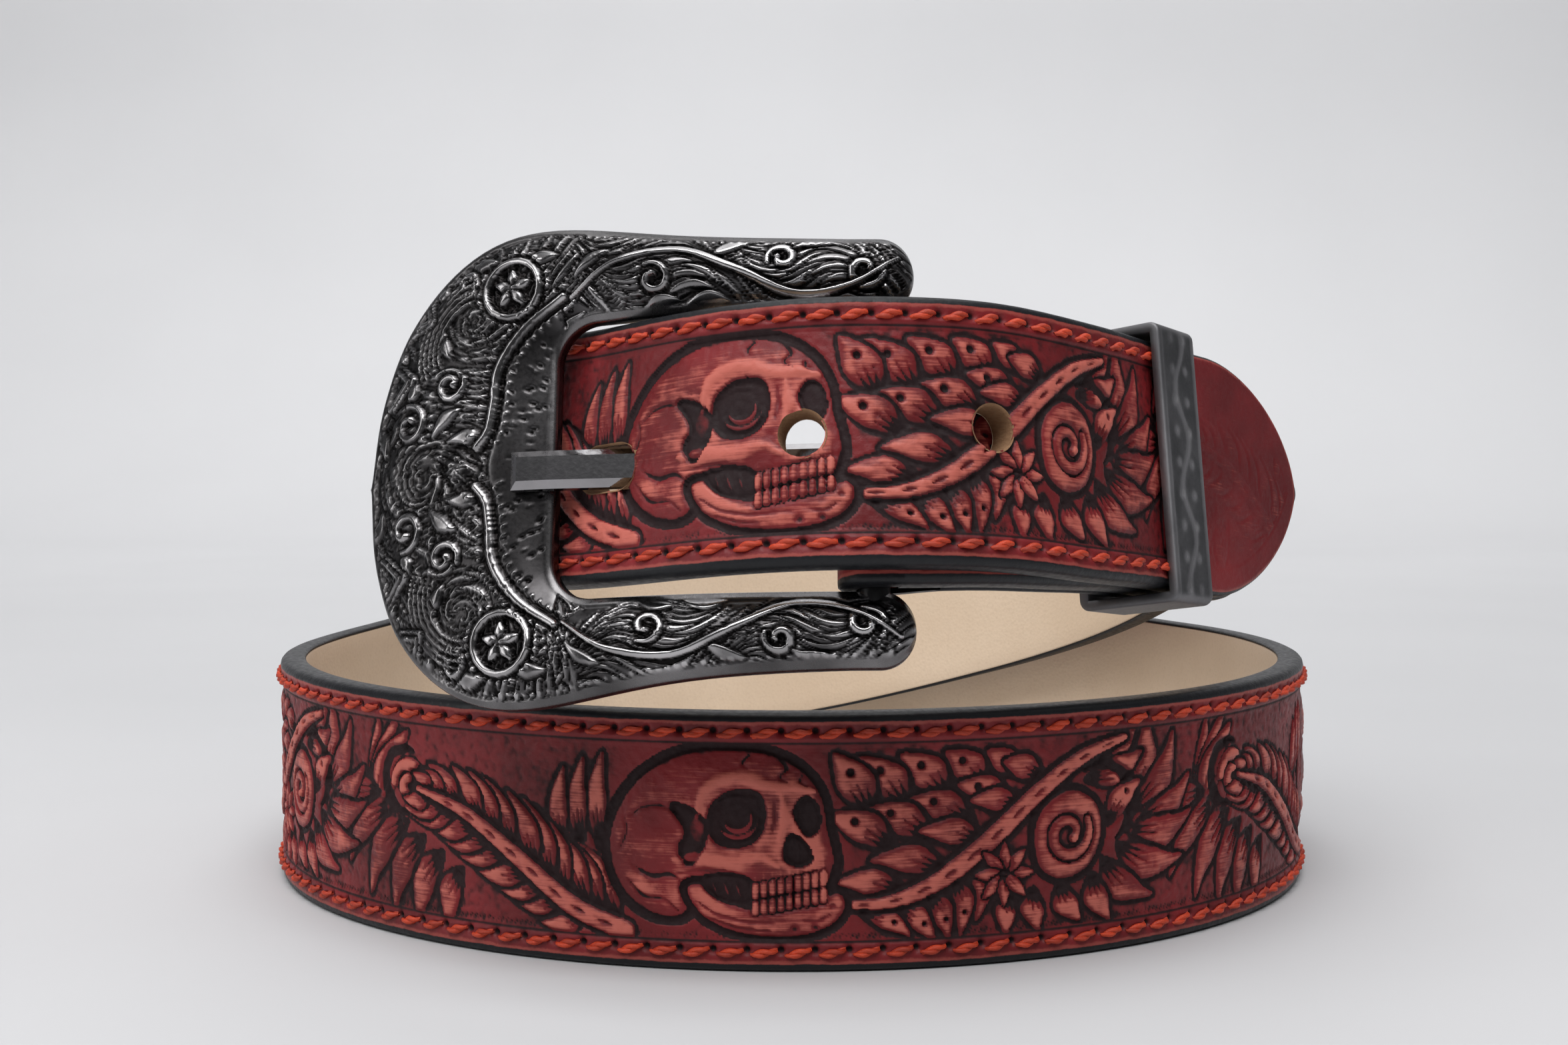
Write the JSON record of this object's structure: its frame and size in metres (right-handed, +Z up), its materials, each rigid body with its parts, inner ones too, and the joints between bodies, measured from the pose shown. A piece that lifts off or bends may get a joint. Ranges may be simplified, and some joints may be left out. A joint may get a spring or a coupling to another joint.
{
  "type": "western tooled belt",
  "caption": "Coiled, fastened belt of tooled leather with a pale lining, a curved buckle frame with a prong through one of its punched holes, and a metal keeper loop.",
  "frame": {"origin": "middle of the part's box, on the surface that the belt rests on", "axes": "+Z up from the surface, -Y towards the buckle's front, +X to the right of the buckle as seen from the front"},
  "size_m": [0.184, 0.2114, 0.1083],
  "materials": {
    "tooled_leather": "tooled, antiqued and waxed",
    "lining_leather": "matt suede",
    "antiqued_metal": "cast, antiqued, bright on the ridges",
    "prong_metal": "polished",
    "keeper_metal": "brushed"
  },
  "bodies": {
    "root": {"strap": "tooled_leather", "lining": "lining_leather", "buckle_frame": "antiqued_metal", "prong": "prong_metal", "keeper": "keeper_metal"}
  },
  "joints": []
}
